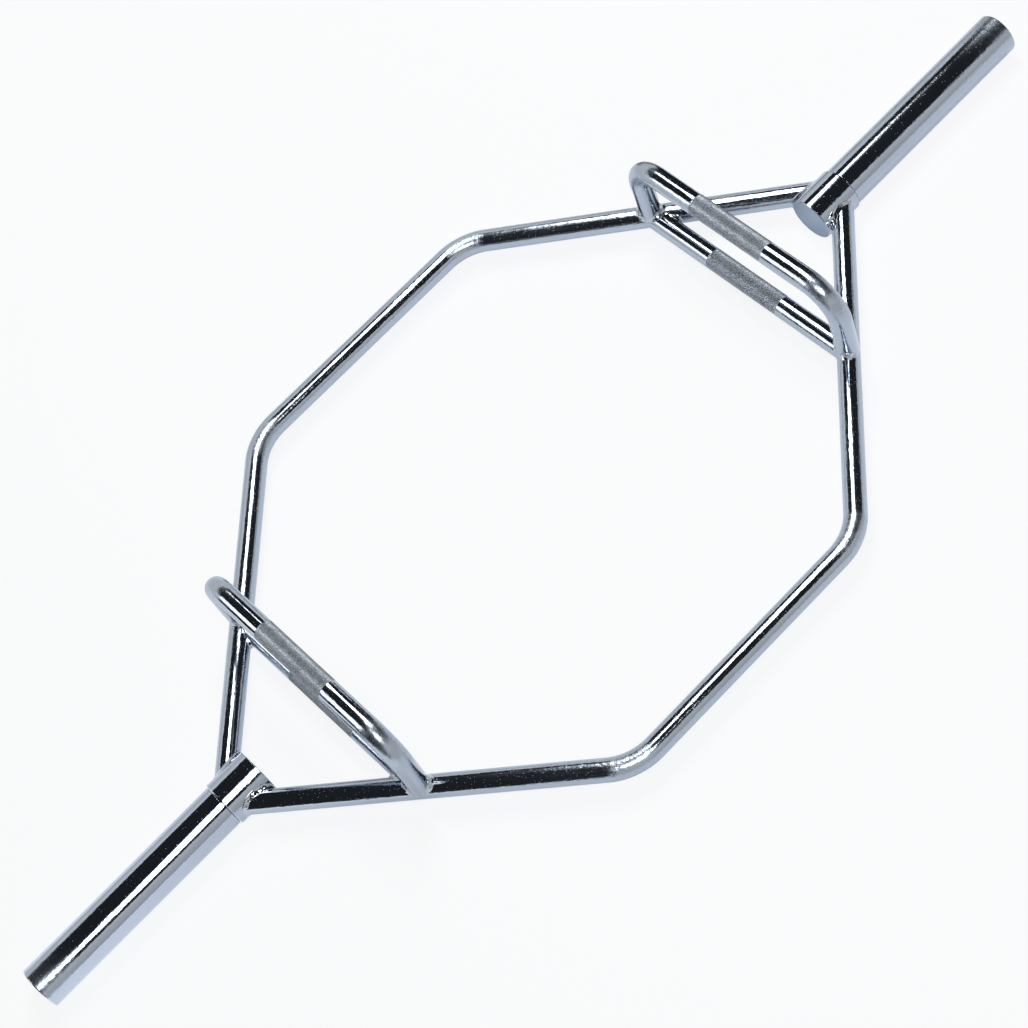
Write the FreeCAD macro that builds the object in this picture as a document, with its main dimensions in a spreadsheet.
import FreeCAD, Part
import math
import os
import Sketcher
from enum import IntEnum

# Hex trap bar, in millimetres.
# X runs along the sleeves, Y across the hexagon and Z up. Z = 0 is the floor under the collars.

SIZES = [
    ("overall_length", 1474.0, "over the two sleeve ends"),
    ("frame_width", 634.0, "over the two long sides"),
    ("bar_dia", 25.4, "round bar of the frame"),
    ("slant_angle", 44.3, "slanted sides against the sleeve axis, degrees"),
    ("bend_radius", 70.0, "frame corners, to the centre of the bar"),
    ("collar_step", 2.0, "end collars standing out past the sleeves, radial"),
    ("collar_length", 50.0, "end collars"),
    ("collar_chamfer", 0.8, "collar edges"),
    ("grip_setback", 102.0, "grips from the collar's inner end, to the centre of the bar"),
    ("grip_undersize", 0.4, "how much thinner the grip stock is than the frame bar"),
    ("handle_rise", 104.0, "raised grip above the low grip, centre to centre"),
    ("handle_bend_radius", 40.0, "raised grip corners, to the centre of the bar"),
    ("weld_leg", 4.5, "reach of a weld bead along each bar"),
    ("weld_margin", 0.6, "bead held back from the collar's end faces"),
    ("sleeve_dia", 50.0, "plate sleeve, outside"),
    ("sleeve_length", 261.6, "plate sleeve"),
    ("sleeve_bore", 38.0, "plate sleeve, inside, where the bushes sit"),
    ("sleeve_chamfer", 0.8, "sleeve edge beside the collar"),
    ("rim_round", 1.7, "sleeve edge at the mouth, outside"),
    ("rim_chamfer", 0.4, "sleeve edge at the mouth, inside"),
    ("seam_gap", 0.4, "running gap between collar and sleeve"),
    ("mouth_bore", 41.6, "stepped mouth of the sleeve"),
    ("mouth_depth", 7.0, "mouth, from the rim to the step"),
    ("disc_thickness", 2.5, "end disc"),
    ("disc_clearance", 0.1, "end disc in the mouth, radial"),
    ("disc_chamfer", 0.4, "end disc, outer edge"),
    ("snap_thickness", 1.6, "snap ring in the mouth"),
    ("snap_width", 3.4, "snap ring inside the mouth wall, radial, at its widest"),
    ("snap_taper", 1.3, "snap ring's inner edge, off centre towards the opening"),
    ("snap_groove_depth", 1.2, "groove for the snap ring"),
    ("snap_groove_slack", 0.1, "groove wider and deeper than the snap ring"),
    ("snap_gap", 60.0, "snap ring's opening, lug to lug, degrees"),
    ("snap_turn", 205.0, "direction of the opening, from +Y towards +Z, degrees"),
    ("lug_dia", 4.8, "lugs of the snap ring"),
    ("lug_hole_dia", 3.0, "plier holes in the lugs"),
    ("lug_inset", 2.1, "lug centres inside the mouth wall"),
    ("spindle_dia", 30.0, "spindle that the sleeve turns on"),
    ("spindle_seat", 32.0, "spindle depth in the collar"),
    ("spindle_end_gap", 3.0, "spindle end behind the end disc"),
    ("spindle_chamfer", 1.0, "spindle ends"),
    ("bush_length", 35.0, "each bush"),
    ("bush_clearance", 0.05, "bush on the spindle, radial"),
    ("bush_chamfer", 0.6, "bush edges on the spindle side"),
    ("end_float", 0.4, "running gap between outer bush and washer"),
    ("washer_thickness", 3.0, "washer on the spindle"),
    ("washer_clearance", 0.2, "washer on the spindle, radial"),
    ("washer_rim_gap", 0.8, "washer to sleeve bore, radial"),
    ("ring_thickness", 1.8, "retaining ring on the spindle"),
    ("ring_setback", 4.0, "retaining ring from the spindle's end"),
    ("ring_width", 2.6, "retaining ring standing out of the spindle, radial"),
    ("ring_groove_depth", 1.1, "groove for the retaining ring"),
    ("ring_groove_slack", 0.1, "groove wider and deeper than the retaining ring"),
    ("ring_gap", 34.0, "opening of the retaining ring, degrees"),
]

# Places worked out from the sizes, as expressions on the sheet.
COLLAR_RADIUS = "(sizes.sleeve_dia / 2 + sizes.collar_step)"
AXIS_HEIGHT = COLLAR_RADIUS
SIDE_Y = "(sizes.frame_width - sizes.bar_dia) / 2"
BAR_RADIUS = "sizes.bar_dia / 2"
GRIP_RADIUS = "(sizes.bar_dia - sizes.grip_undersize) / 2"

SLEEVE_END = "sizes.overall_length / 2"
SLEEVE_START = f"({SLEEVE_END} - sizes.sleeve_length)"
COLLAR_OUTER = f"({SLEEVE_START} - sizes.seam_gap)"
COLLAR_INNER = f"({COLLAR_OUTER} - sizes.collar_length)"
GRIP_X = f"({COLLAR_INNER} - sizes.grip_setback)"

# A slanted side's centre line passes the middle of the collar level with the sleeve's wall, so it meets the
# axis further out.
COLLAR_MIDDLE = f"({COLLAR_OUTER} - sizes.collar_length / 2)"
APEX_X = f"({COLLAR_MIDDLE} + sizes.sleeve_dia / 2 / tan(sizes.slant_angle))"
FOOT_Y = f"(({APEX_X} - {GRIP_X}) * tan(sizes.slant_angle))"

MOUTH_STEP = f"({SLEEVE_END} - sizes.mouth_depth)"
DISC_FACE = f"({MOUTH_STEP} + sizes.disc_thickness)"
SNAP_FACE = f"({DISC_FACE} + sizes.snap_thickness)"
SNAP_GROOVE_END = f"({SNAP_FACE} + sizes.snap_groove_slack)"
MOUTH_RADIUS = "sizes.mouth_bore / 2"
SNAP_GROOVE_RADIUS = f"({MOUTH_RADIUS} + sizes.snap_groove_depth)"
SNAP_OUTER = f"({SNAP_GROOVE_RADIUS} - sizes.snap_groove_slack)"
SNAP_INNER = f"({MOUTH_RADIUS} - sizes.snap_width + sizes.snap_taper)"
SNAP_HALF_GAP = "(sizes.snap_gap / 2)"
LUG_RADIUS = f"({MOUTH_RADIUS} - sizes.lug_inset)"

SPINDLE_RADIUS = "sizes.spindle_dia / 2"
SPINDLE_START = f"({COLLAR_OUTER} - sizes.spindle_seat)"
SPINDLE_END = f"({MOUTH_STEP} - sizes.spindle_end_gap)"
RING_OUTER_FACE = f"({SPINDLE_END} - sizes.ring_setback)"
RING_INNER_FACE = f"({RING_OUTER_FACE} - sizes.ring_thickness)"
RING_GROOVE_END = f"({RING_OUTER_FACE} + sizes.ring_groove_slack)"
RING_GROOVE_RADIUS = f"({SPINDLE_RADIUS} - sizes.ring_groove_depth)"
RING_INNER = f"({RING_GROOVE_RADIUS} + sizes.ring_groove_slack)"
RING_OUTER = f"({SPINDLE_RADIUS} + sizes.ring_width)"
WASHER_FACE = f"({RING_INNER_FACE} - sizes.washer_thickness)"
WASHER_INNER = f"({SPINDLE_RADIUS} + sizes.washer_clearance)"
WASHER_OUTER = "(sizes.sleeve_bore / 2 - sizes.washer_rim_gap)"

BORE_RADIUS = "sizes.sleeve_bore / 2"
BUSH_INNER = f"({SPINDLE_RADIUS} + sizes.bush_clearance)"
OUTER_BUSH_END = f"({WASHER_FACE} - sizes.end_float)"
OUTER_BUSH_START = f"({OUTER_BUSH_END} - sizes.bush_length)"
INNER_BUSH_END = f"({SLEEVE_START} + sizes.bush_length)"

# Rods that a bead is worked out on reach well past the bead.
COLLAR_ROD = f"(2 * {COLLAR_RADIUS} + 2 * sizes.bar_dia)"
FOOT_ROD = "(2 * sizes.bar_dia)"

# Each end of the bar is the same set of pieces, turned half round about Z.
ENDS = {"right": 0, "left": 180}
GRIP_SIDES = {"right": 1, "left": -1}
NORMAL = FreeCAD.Vector(0, 0, 1)
SAME_PLACE = 1e-4


class Spot(IntEnum):
    """Numbers that a sketch gives to the places on a line or circle."""

    START = 1
    END = 2
    CENTRE = 3


class Axis(IntEnum):
    """Numbers that a sketch gives to its own axes, which cross at its origin."""

    H = -1
    V = -2


START, END, CENTRE = Spot
H_AXIS, V_AXIS = Axis
ORIGIN = Axis.H

doc = FreeCAD.newDocument("hex_trap_bar")
sheet = doc.addObject("Spreadsheet::Sheet", "sizes")
for row, (alias, value, note) in enumerate(SIZES, start=1):
    sheet.set(f"A{row}", str(value))
    sheet.setAlias(f"A{row}", alias)
    sheet.set(f"B{row}", note)
doc.recompute()


def place(piece, x="0", yaw=0, roll="0"):
    """Put a piece at its place on the bar, rolled about the sleeve axis and turned about Z."""
    piece.setExpression("Placement", f"placement(vector({x}; 0; {AXIS_HEIGHT}); rotation({yaw}; 0; {roll}))")


def plane(body, role):
    """One of a body's own origin planes."""
    return next(item for item in body.Origin.OriginFeatures if item.Role == role)


def new_sketch(body, name, role):
    """An empty sketch on one of the body's origin planes."""
    sketch = body.newObject("Sketcher::SketchObject", name)
    sketch.AttachmentSupport = [(plane(body, role), "")]
    sketch.MapMode = "FlatFace"
    return sketch


def dimension(sketch, kind, parts, name, expression):
    """A named dimension that follows the sheet."""
    first = sketch.evalExpression(expression)
    index = sketch.addConstraint(Sketcher.Constraint(kind, *parts, FreeCAD.Units.Quantity(first).Value))
    sketch.renameConstraint(index, name)
    sketch.setExpression(f"Constraints.{name}", expression)


def link(sketch, kind, *parts):
    """A constraint without a size."""
    sketch.addConstraint(Sketcher.Constraint(kind, *parts))


def number(expression):
    """The present value of an expression on the sheet."""
    return float(FreeCAD.Units.Quantity(sheet.evalExpression(expression.replace("sizes.", ""))).Value)


def circle(sketch, name, x, y, diameter):
    """A circle whose centre and diameter follow the sheet; None keeps the centre on that axis."""
    centre = FreeCAD.Vector(number(x) if x else 0, number(y) if y else 0, 0)
    index = sketch.addGeometry(Part.Circle(centre, NORMAL, number(diameter) / 2))
    for value, axis, kind in ((x, V_AXIS, "DistanceX"), (y, H_AXIS, "DistanceY")):
        if value:
            dimension(sketch, kind, (ORIGIN, START, index, CENTRE), f"{name}_{kind}", value)
        else:
            link(sketch, "PointOnObject", index, CENTRE, axis)
    dimension(sketch, "Diameter", (index,), f"{name}_diameter", diameter)


def bent_half(body, role, level, far, radius, end_angle):
    """Half of a bent bar's centre line: along at a level, round one corner, then straight to the far point on H."""
    sketch = new_sketch(body, "centre_line", role)
    top, reach, turn = number(level), number(far), number(radius)
    bend = Part.Circle(FreeCAD.Vector(reach / 2, top - turn, 0), NORMAL, turn)
    arc = Part.ArcOfCircle(bend, math.pi / 4, math.pi / 2)
    level_run = sketch.addGeometry(Part.LineSegment(FreeCAD.Vector(0, top, 0), arc.EndPoint))
    corner = sketch.addGeometry(arc)
    last_run = sketch.addGeometry(Part.LineSegment(FreeCAD.Vector(reach, 0, 0), arc.StartPoint))
    link(sketch, "PointOnObject", level_run, START, V_AXIS)
    link(sketch, "Horizontal", level_run)
    link(sketch, "Tangent", level_run, END, corner, END)
    link(sketch, "Tangent", corner, START, last_run, END)
    link(sketch, "PointOnObject", last_run, START, H_AXIS)
    dimension(sketch, "DistanceY", (ORIGIN, START, level_run, START), "level", level)
    dimension(sketch, "Radius", (corner,), "corner_radius", radius)
    dimension(sketch, "DistanceX", (ORIGIN, START, last_run, START), "far_point", far)
    if end_angle:
        dimension(sketch, "Angle", (last_run,), "end_angle", end_angle)
    else:
        link(sketch, "Vertical", last_run)
    return sketch


def bent_bar(body, path_role, profile_role, level, far, radius, diameter, end_angle, profile_at):
    """A round bar swept along half a centre line, then mirrored about the profile's plane."""
    path = bent_half(body, path_role, level, far, radius, end_angle)
    profile = new_sketch(body, "bar_section", profile_role)
    circle(profile, "bar", *profile_at, diameter)
    pipe = body.newObject("PartDesign::AdditivePipe", "bent_half")
    pipe.Profile = profile
    pipe.Spine = path
    whole = body.newObject("PartDesign::Mirrored", "both_halves")
    whole.Originals = [pipe]
    whole.MirrorPlane = (plane(body, profile_role), [""])
    body.Tip = whole


def frame_bar(label, yaw):
    """One long side of the hexagon with its two slanted ends, coped to the collars."""
    body = doc.addObject("PartDesign::Body", label)
    body.Label = label
    bent_bar(
        body, "XY_Plane", "YZ_Plane", SIDE_Y, APEX_X, "sizes.bend_radius", "sizes.bar_dia",
        "180 - sizes.slant_angle", (SIDE_Y, None),
    )
    cope = new_sketch(body, "collar_cope", "YZ_Plane")
    circle(cope, "cope", None, None, f"2 * {COLLAR_RADIUS}")
    pocket = body.newObject("PartDesign::Pocket", "coped_ends")
    pocket.Profile = cope
    pocket.Type = "ThroughAll"
    pocket.SideType = "Symmetric"
    place(body, yaw=yaw)
    return body


def turned(label, yaw, outline, angle=None):
    """A piece turned about the sleeve axis from an outline of (distance along the axis, radius) points."""
    body = doc.addObject("PartDesign::Body", label)
    body.Label = label
    sketch = new_sketch(body, "outline", "XY_Plane")
    points = [FreeCAD.Vector(number(x), number(r) if r else 0, 0) for x, r in outline]
    lines = [
        sketch.addGeometry(Part.LineSegment(point, points[(i + 1) % len(points)])) for i, point in enumerate(points)
    ]
    for i, (x, r) in enumerate(outline):
        link(sketch, "Coincident", lines[i - 1], END, lines[i], START)
        dimension(sketch, "DistanceX", (ORIGIN, START, lines[i], START), f"along_{i}", x)
        if r:
            dimension(sketch, "DistanceY", (ORIGIN, START, lines[i], START), f"radius_{i}", r)
        else:
            link(sketch, "PointOnObject", lines[i], START, H_AXIS)
    solid = body.newObject("PartDesign::Revolution", "turned")
    solid.Profile = sketch
    solid.ReferenceAxis = (sketch, ["H_Axis"])
    if angle:
        solid.setExpression("Angle", angle)
    place(body, yaw=yaw)
    return body


def collar(label, yaw):
    """Short round block with a blind socket for the spindle."""
    edge = "sizes.collar_chamfer"
    return turned(label, yaw, [
        (COLLAR_INNER, None),
        (COLLAR_INNER, f"{COLLAR_RADIUS} - {edge}"),
        (f"{COLLAR_INNER} + {edge}", COLLAR_RADIUS),
        (f"{COLLAR_OUTER} - {edge}", COLLAR_RADIUS),
        (COLLAR_OUTER, f"{COLLAR_RADIUS} - {edge}"),
        (COLLAR_OUTER, SPINDLE_RADIUS),
        (SPINDLE_START, SPINDLE_RADIUS),
        (SPINDLE_START, None),
    ])


def spindle(label, yaw):
    """Shaft fixed in the collar, with a groove near its end for the retaining ring."""
    edge = "sizes.spindle_chamfer"
    return turned(label, yaw, [
        (SPINDLE_START, None),
        (SPINDLE_START, f"{SPINDLE_RADIUS} - {edge}"),
        (f"{SPINDLE_START} + {edge}", SPINDLE_RADIUS),
        (RING_INNER_FACE, SPINDLE_RADIUS),
        (RING_INNER_FACE, RING_GROOVE_RADIUS),
        (RING_GROOVE_END, RING_GROOVE_RADIUS),
        (RING_GROOVE_END, SPINDLE_RADIUS),
        (f"{SPINDLE_END} - {edge}", SPINDLE_RADIUS),
        (SPINDLE_END, f"{SPINDLE_RADIUS} - {edge}"),
        (SPINDLE_END, None),
    ])


def spindle_washer(label, yaw):
    """Flat washer between the outer bush and the retaining ring."""
    return turned(label, yaw, [
        (WASHER_FACE, WASHER_INNER),
        (WASHER_FACE, WASHER_OUTER),
        (RING_INNER_FACE, WASHER_OUTER),
        (RING_INNER_FACE, WASHER_INNER),
    ])


def spindle_ring(label, yaw):
    """Open retaining ring of constant section, sprung into the spindle's groove."""
    outline = [
        (RING_INNER_FACE, RING_INNER),
        (RING_INNER_FACE, RING_OUTER),
        (RING_OUTER_FACE, RING_OUTER),
        (RING_OUTER_FACE, RING_INNER),
    ]
    return turned(label, yaw, outline, "360 - sizes.ring_gap")


def bush(label, yaw, start, end):
    """Plain bush, pressed into the sleeve, running on the spindle."""
    edge = "sizes.bush_chamfer"
    return turned(label, yaw, [
        (start, f"{BUSH_INNER} + {edge}"),
        (start, BORE_RADIUS),
        (end, BORE_RADIUS),
        (end, f"{BUSH_INNER} + {edge}"),
        (f"{end} - {edge}", BUSH_INNER),
        (f"{start} + {edge}", BUSH_INNER),
    ])


def sleeve(label, yaw):
    """Plate sleeve: a tube with a stepped, grooved mouth and a rounded rim."""
    edge = "sizes.sleeve_chamfer"
    inner_edge = "sizes.rim_chamfer"
    radius = "sizes.sleeve_dia / 2"
    body = turned(label, yaw, [
        (SLEEVE_START, BORE_RADIUS),
        (SLEEVE_START, f"{radius} - {edge}"),
        (f"{SLEEVE_START} + {edge}", radius),
        (SLEEVE_END, radius),
        (SLEEVE_END, f"{MOUTH_RADIUS} + {inner_edge}"),
        (f"{SLEEVE_END} - {inner_edge}", MOUTH_RADIUS),
        (SNAP_GROOVE_END, MOUTH_RADIUS),
        (SNAP_GROOVE_END, SNAP_GROOVE_RADIUS),
        (DISC_FACE, SNAP_GROOVE_RADIUS),
        (DISC_FACE, MOUTH_RADIUS),
        (MOUTH_STEP, MOUTH_RADIUS),
        (MOUTH_STEP, BORE_RADIUS),
    ])
    doc.recompute()
    tube = body.Tip
    rim = body.newObject("PartDesign::Fillet", "rounded_rim")
    rim.Base = (tube, [rim_edge(tube.Shape)])
    rim.setExpression("Radius", "sizes.rim_round")
    return body


def rim_edge(shape):
    """The widest circle at the sleeve's far end."""
    end = shape.BoundBox.XMax
    circles = {
        f"Edge{i}": edge.Curve.Radius
        for i, edge in enumerate(shape.Edges, start=1)
        if isinstance(edge.Curve, Part.Circle) and abs(edge.Curve.Center.x - end) < SAME_PLACE
    }
    return max(circles, key=circles.get)


def end_disc(label, yaw):
    """Plain disc on the step in the sleeve's mouth."""
    edge = "sizes.disc_chamfer"
    radius = f"({MOUTH_RADIUS} - sizes.disc_clearance)"
    return turned(label, yaw, [
        (MOUTH_STEP, None),
        (MOUTH_STEP, radius),
        (f"{DISC_FACE} - {edge}", radius),
        (DISC_FACE, f"{radius} - {edge}"),
        (DISC_FACE, None),
    ])


def snap_sketch(body, name):
    """A sketch on the plane where the snap ring meets the end disc."""
    sketch = new_sketch(body, name, "YZ_Plane")
    sketch.setExpression("AttachmentOffset.Base.z", DISC_FACE)
    return sketch


def opening_outline(sketch):
    """A wedge from the sleeve axis out past the snap ring, as wide as its opening."""
    reach = f"2 * {MOUTH_RADIUS}"
    half_width = f"{reach} * tan({SNAP_HALF_GAP})"
    low = FreeCAD.Vector(number(reach), -number(half_width), 0)
    high = FreeCAD.Vector(number(reach), number(half_width), 0)
    corners = [FreeCAD.Vector(0, 0, 0), low, high]
    lines = [sketch.addGeometry(Part.LineSegment(corners[i], corners[(i + 1) % 3])) for i in range(3)]
    for i in range(3):
        link(sketch, "Coincident", lines[i - 1], END, lines[i], START)
    link(sketch, "Coincident", lines[0], START, ORIGIN, START)
    link(sketch, "Symmetric", lines[1], START, lines[1], END, H_AXIS)
    dimension(sketch, "DistanceX", (ORIGIN, START, lines[1], END), "reach", reach)
    dimension(sketch, "DistanceY", (ORIGIN, START, lines[1], END), "half_width", half_width)


def lug_circles(sketch, diameter):
    """One circle at each end of the snap ring, mirrored about the middle of its opening."""
    along = f"{LUG_RADIUS} * cos({SNAP_HALF_GAP})"
    aside = f"{LUG_RADIUS} * sin({SNAP_HALF_GAP})"
    circle(sketch, "lug", along, aside, diameter)
    opposite = FreeCAD.Vector(number(along), -number(aside), 0)
    other = sketch.addGeometry(Part.Circle(opposite, NORMAL, number(diameter) / 2))
    link(sketch, "Symmetric", 0, CENTRE, other, CENTRE, H_AXIS)
    link(sketch, "Equal", 0, other)


def end_snap_ring(label, yaw):
    """Snap ring in the mouth's groove: widest opposite its opening, with a drilled lug at each end."""
    body = doc.addObject("PartDesign::Body", label)
    body.Label = label
    hoop = snap_sketch(body, "hoop_outline")
    circle(hoop, "outer", None, None, f"2 * {SNAP_OUTER}")
    circle(hoop, "inner", "sizes.snap_taper", None, f"2 * {SNAP_INNER}")
    opening = snap_sketch(body, "opening_outline")
    opening_outline(opening)
    lugs = snap_sketch(body, "lug_outlines")
    lug_circles(lugs, "sizes.lug_dia")
    holes = snap_sketch(body, "hole_outlines")
    lug_circles(holes, "sizes.lug_hole_dia")
    for kind, name, outline in (
        ("Pad", "hoop", hoop),
        ("Pocket", "opening", opening),
        ("Pad", "lugs", lugs),
        ("Pocket", "lug_holes", holes),
    ):
        solid = body.newObject(f"PartDesign::{kind}", name)
        solid.Profile = outline
        solid.setExpression("Length", "sizes.snap_thickness")
        solid.Reversed = kind == "Pocket"
    place(body, yaw=yaw, roll="sizes.snap_turn")
    return body


def rod(name, radius, length, at, direction):
    """A plain round rod from a point, along a direction given as yaw and pitch."""
    cylinder = doc.addObject("Part::Cylinder", name)
    cylinder.setExpression("Radius", radius)
    cylinder.setExpression("Height", length)
    x, y = at
    yaw, pitch, roll = direction
    cylinder.setExpression(
        "Placement", f"placement(vector({x}; {y}; {AXIS_HEIGHT}); rotation({yaw}; {pitch}; {roll}))"
    )
    return cylinder


ALONG_X = ("0", "90", "0")
ALONG_SLANT = ("180 - sizes.slant_angle", "90", "0")
ACROSS = ("0", "0", "-90")
BACK_ACROSS = ("0", "0", "90")
UPWARD = ("0", "0", "0")


def cut(label, base, tools):
    """The base with each tool taken away in turn."""
    for tool in tools:
        piece = doc.addObject("Part::Cut", f"{label}_less_{tool.Name}")
        piece.Base = base
        piece.Tool = tool
        base = piece
    base.Label = label
    return base


def shared(name, first, second):
    """The space that two pieces share."""
    piece = doc.addObject("Part::Common", name)
    piece.Base = first
    piece.Tool = second
    return piece


def low_grip(label, side, bars):
    """Straight grip in the plane of the frame, coped to both side bars."""
    blank = rod(f"{label}_blank", GRIP_RADIUS, f"2 * {FOOT_Y}", (f"{side} * {GRIP_X}", f"-{FOOT_Y}"), ACROSS)
    return cut(label, blank, bars)


def raised_handle(label, side, supports):
    """Grip bent to a U from one bar, its feet coped to the side bars and the low grip."""
    blank = doc.addObject("PartDesign::Body", f"{label}_blank")
    bent_bar(
        blank, "YZ_Plane", "XZ_Plane", "sizes.handle_rise", FOOT_Y, "sizes.handle_bend_radius",
        "sizes.bar_dia - sizes.grip_undersize", None, (None, "sizes.handle_rise"),
    )
    place(blank, x=f"{side} * {GRIP_X}")
    return cut(label, blank, supports)


def mirrored(name, source, normal):
    """A mirror image about a plane through the middle of the bar."""
    piece = doc.addObject("Part::Mirroring", name)
    piece.Source = source
    piece.Normal = normal
    piece.Label = name
    return piece


def weld_pair(name, bead):
    """A bead and its mirror image across the hexagon, at the right end and again at the left."""
    other = mirrored(f"{name}_bead_front", bead, FreeCAD.Vector(0, 1, 0))
    pair = doc.addObject("Part::Compound", f"right_{name}")
    pair.Links = [bead, other]
    pair.Label = f"right_{name}"
    return [pair, mirrored(f"left_{name}", pair, FreeCAD.Vector(1, 0, 0))]


def collar_welds(bar):
    """Beads round the side bars where they stand on the collars."""
    bar_skin = rod("collar_bar_skin", f"{BAR_RADIUS} + sizes.weld_leg", COLLAR_ROD, (APEX_X, "0"), ALONG_SLANT)
    block_skin = rod(
        "collar_skin",
        f"{COLLAR_RADIUS} + sizes.weld_leg",
        "sizes.collar_length - 2 * sizes.weld_margin",
        (f"{COLLAR_INNER} + sizes.weld_margin", "0"),
        ALONG_X,
    )
    block = rod("collar_core", COLLAR_RADIUS, "sizes.collar_length", (COLLAR_INNER, "0"), ALONG_X)
    bead = cut("collar_bead_rear", shared("collar_bead_space", bar_skin, block_skin), [bar, block])
    return weld_pair("collar_welds", bead)


def grip_welds(bar, grip, handle):
    """Beads round the feet of both grips where they stand on the side bars."""
    skin = f"{GRIP_RADIUS} + sizes.weld_leg"
    start = (
        f"{GRIP_X} + {FOOT_ROD} * cos(sizes.slant_angle)",
        f"{FOOT_Y} - {FOOT_ROD} * sin(sizes.slant_angle)",
    )
    bar_skin = rod("foot_bar_skin", f"{BAR_RADIUS} + sizes.weld_leg", f"2 * {FOOT_ROD}", start, ALONG_SLANT)
    leg_skin = rod("foot_leg_skin", skin, FOOT_ROD, (GRIP_X, FOOT_Y), UPWARD)
    grip_skin = rod("foot_grip_skin", skin, FOOT_ROD, (GRIP_X, FOOT_Y), BACK_ACROSS)
    space = doc.addObject("Part::MultiFuse", "foot_bead_space")
    space.Shapes = [
        shared("leg_on_bar", leg_skin, bar_skin),
        shared("grip_on_bar", grip_skin, bar_skin),
        shared("leg_on_grip", leg_skin, grip_skin),
    ]
    bead = cut("foot_bead_rear", space, [bar, grip, handle])
    return weld_pair("grip_welds", bead)


# Frame
rear_bar = frame_bar("rear_frame_bar", 0)
front_bar = frame_bar("front_frame_bar", 180)
pieces = [rear_bar, front_bar]
bars = [rear_bar, front_bar]
grips = {end: low_grip(f"{end}_low_grip", side, bars) for end, side in GRIP_SIDES.items()}
handles = {
    end: raised_handle(f"{end}_raised_handle", side, bars + [grips[end]]) for end, side in GRIP_SIDES.items()
}
collars = {end: collar(f"{end}_collar", yaw) for end, yaw in ENDS.items()}
pieces += [*grips.values(), *handles.values(), *collars.values()]
pieces += collar_welds(rear_bar)
pieces += grip_welds(rear_bar, grips["right"], handles["right"])

# Sleeves and what they turn on
for end, yaw in ENDS.items():
    pieces += [
        spindle(f"{end}_spindle", yaw),
        spindle_washer(f"{end}_spindle_washer", yaw),
        spindle_ring(f"{end}_spindle_ring", yaw),
        sleeve(f"{end}_sleeve", yaw),
        bush(f"{end}_inner_bush", yaw, SLEEVE_START, INNER_BUSH_END),
        bush(f"{end}_outer_bush", yaw, OUTER_BUSH_START, OUTER_BUSH_END),
        end_disc(f"{end}_end_disc", yaw),
        end_snap_ring(f"{end}_end_snap_ring", yaw),
    ]
doc.recompute()

# Every object has to be sound before anything is written.
failed = [item.Label for item in doc.Objects if "Invalid" in item.State or "Error" in item.State]
failed += [piece.Label for piece in pieces if piece.Shape.isNull() or not piece.Shape.isValid()]
if failed:
    raise RuntimeError(f"not sound: {failed}")
os.makedirs("parts", exist_ok=True)
for piece in pieces:
    piece.Shape.exportStep(f"parts/{piece.Label}.step")
    print(piece.Label, len(piece.Shape.Solids), "solid", round(piece.Shape.Volume), "mm3")
